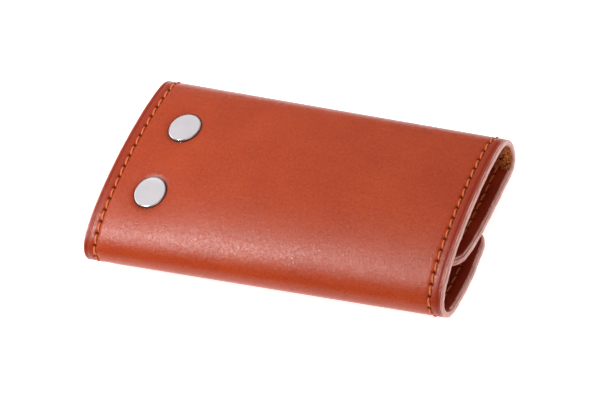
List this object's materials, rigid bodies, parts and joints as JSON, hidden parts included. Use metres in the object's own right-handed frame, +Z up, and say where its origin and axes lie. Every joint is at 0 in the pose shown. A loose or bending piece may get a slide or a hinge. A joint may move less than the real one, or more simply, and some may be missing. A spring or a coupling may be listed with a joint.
{
  "type": "key case",
  "caption": "Wrap-around leather key case: a stitched cover folds in three over a riveted key rail with swinging spring hooks and closes with press studs.",
  "frame": {"origin": "centre of the underside of the closed case, on the plane it rests on", "axes": "+X along the folds towards the open end, +Y from the near fold to the far fold, +Z up through the front panel"},
  "size_m": [0.1172, 0.0651, 0.0196],
  "materials": {
    "cover_leather": "smooth waxed cognac leather",
    "lining_leather": "matt dark red-brown lining leather",
    "thread": "waxed orange linen thread",
    "nickel": "satin nickel plate",
    "steel": "nickel-plated pressed steel"
  },
  "bodies": {
    "front": {"front_panel": "cover_leather", "front_seam_rail_end": "thread", "front_seam_open_end": "thread", "key_rail": "steel", "rail_pin": "steel", "rivet_cap_near": "nickel", "rivet_foot_near": "nickel", "rivet_cap_far": "nickel", "rivet_foot_far": "nickel"},
    "near_fold": {"near_fold": "cover_leather", "near_fold_seam_rail_end": "thread", "near_fold_seam_open_end": "thread"},
    "outer_flap": {"outer_flap": "cover_leather", "outer_flap_lining": "lining_leather", "outer_flap_seam_rail_end": "thread", "outer_flap_seam_open_end": "thread", "stud_cap_1": "nickel", "stud_socket_1": "nickel", "stud_cap_2": "nickel", "stud_socket_2": "nickel"},
    "far_fold": {"far_fold": "cover_leather", "far_fold_seam_rail_end": "thread", "far_fold_seam_open_end": "thread"},
    "inner_flap": {"inner_flap": "cover_leather", "inner_flap_lining": "lining_leather", "inner_flap_seam_rail_end": "thread", "inner_flap_seam_open_end": "thread", "stud_1": "nickel", "stud_foot_1": "nickel", "stud_2": "nickel", "stud_foot_2": "nickel"},
    "hook_1": {"key_hook_1": "steel", "gate_pin_1": "steel"},
    "gate_1": {"hook_gate_1": "nickel"},
    "hook_2": {"key_hook_2": "steel", "gate_pin_2": "steel"},
    "gate_2": {"hook_gate_2": "nickel"},
    "hook_3": {"key_hook_3": "steel", "gate_pin_3": "steel"},
    "gate_3": {"hook_gate_3": "nickel"},
    "hook_4": {"key_hook_4": "steel", "gate_pin_4": "steel"},
    "gate_4": {"hook_gate_4": "nickel"}
  },
  "joints": [
    {"name": "near_fold_crease", "type": "hinge", "parent": "front", "child": "near_fold", "pos_m": [0, -0.02932, 0.01316], "axis": [-0.9994, -0.0287, 0.0182], "range_deg": [0, 88]},
    {"name": "outer_flap_crease", "type": "hinge", "parent": "near_fold", "child": "outer_flap", "pos_m": [0, -0.02943, 0.0066], "axis": [-0.9994, -0.0288, 0.0183], "range_deg": [0, 88]},
    {"name": "far_fold_crease", "type": "hinge", "parent": "front", "child": "far_fold", "pos_m": [0, 0.0292, 0.01189], "axis": [0.9992, -0.0286, 0.0274], "range_deg": [0, 39.6]},
    {"name": "inner_flap_crease", "type": "hinge", "parent": "far_fold", "child": "inner_flap", "pos_m": [0, 0.02576, 0.00189], "axis": [0.9994, -0.0252, 0.0248], "range_deg": [0, 39.6]},
    {"name": "hook_1_swing", "type": "hinge", "parent": "front", "child": "hook_1", "pos_m": [-0.03696, -0.01023, 0.01422], "axis": [-0.0292, -0.9967, 0.0755], "range_deg": [0, 4.5]},
    {"name": "gate_1_press", "type": "hinge", "parent": "hook_1", "child": "gate_1", "pos_m": [-0.02969, -0.00767, 0.01371], "axis": [-0.0436, -0.0742, -0.9963], "range_deg": [0, 20], "stiffness_Nm_per_rad": 0.002, "springref_deg": -5.73},
    {"name": "hook_2_swing", "type": "hinge", "parent": "front", "child": "hook_2", "pos_m": [-0.03676, -0.00315, 0.01369], "axis": [-0.0292, -0.9967, 0.0755], "range_deg": [0, 5.5]},
    {"name": "gate_2_press", "type": "hinge", "parent": "hook_2", "child": "gate_2", "pos_m": [-0.0295, -0.00061, 0.01293], "axis": [-0.0784, -0.073, -0.9942], "range_deg": [0, 20], "stiffness_Nm_per_rad": 0.002, "springref_deg": -5.73},
    {"name": "hook_3_swing", "type": "hinge", "parent": "front", "child": "hook_3", "pos_m": [-0.03655, 0.00392, 0.01315], "axis": [-0.0292, -0.9967, 0.0755], "range_deg": [0, 6.5]},
    {"name": "gate_3_press", "type": "hinge", "parent": "hook_3", "child": "gate_3", "pos_m": [-0.02932, 0.00644, 0.01214], "axis": [-0.1132, -0.0717, -0.991], "range_deg": [0, 20], "stiffness_Nm_per_rad": 0.002, "springref_deg": -5.73},
    {"name": "hook_4_swing", "type": "hinge", "parent": "front", "child": "hook_4", "pos_m": [-0.03634, 0.011, 0.01262], "axis": [-0.0292, -0.9967, 0.0755], "range_deg": [0, 7]},
    {"name": "gate_4_press", "type": "hinge", "parent": "hook_4", "child": "gate_4", "pos_m": [-0.02914, 0.0135, 0.01136], "axis": [-0.1477, -0.0704, -0.9865], "range_deg": [0, 20], "stiffness_Nm_per_rad": 0.002, "springref_deg": -5.73}
  ],
  "couplings": [
    {"joint": "outer_flap_crease", "follows": "near_fold_crease", "ratio": 1},
    {"joint": "far_fold_crease", "follows": "near_fold_crease", "ratio": 0.45},
    {"joint": "inner_flap_crease", "follows": "near_fold_crease", "ratio": 0.45}
  ]
}
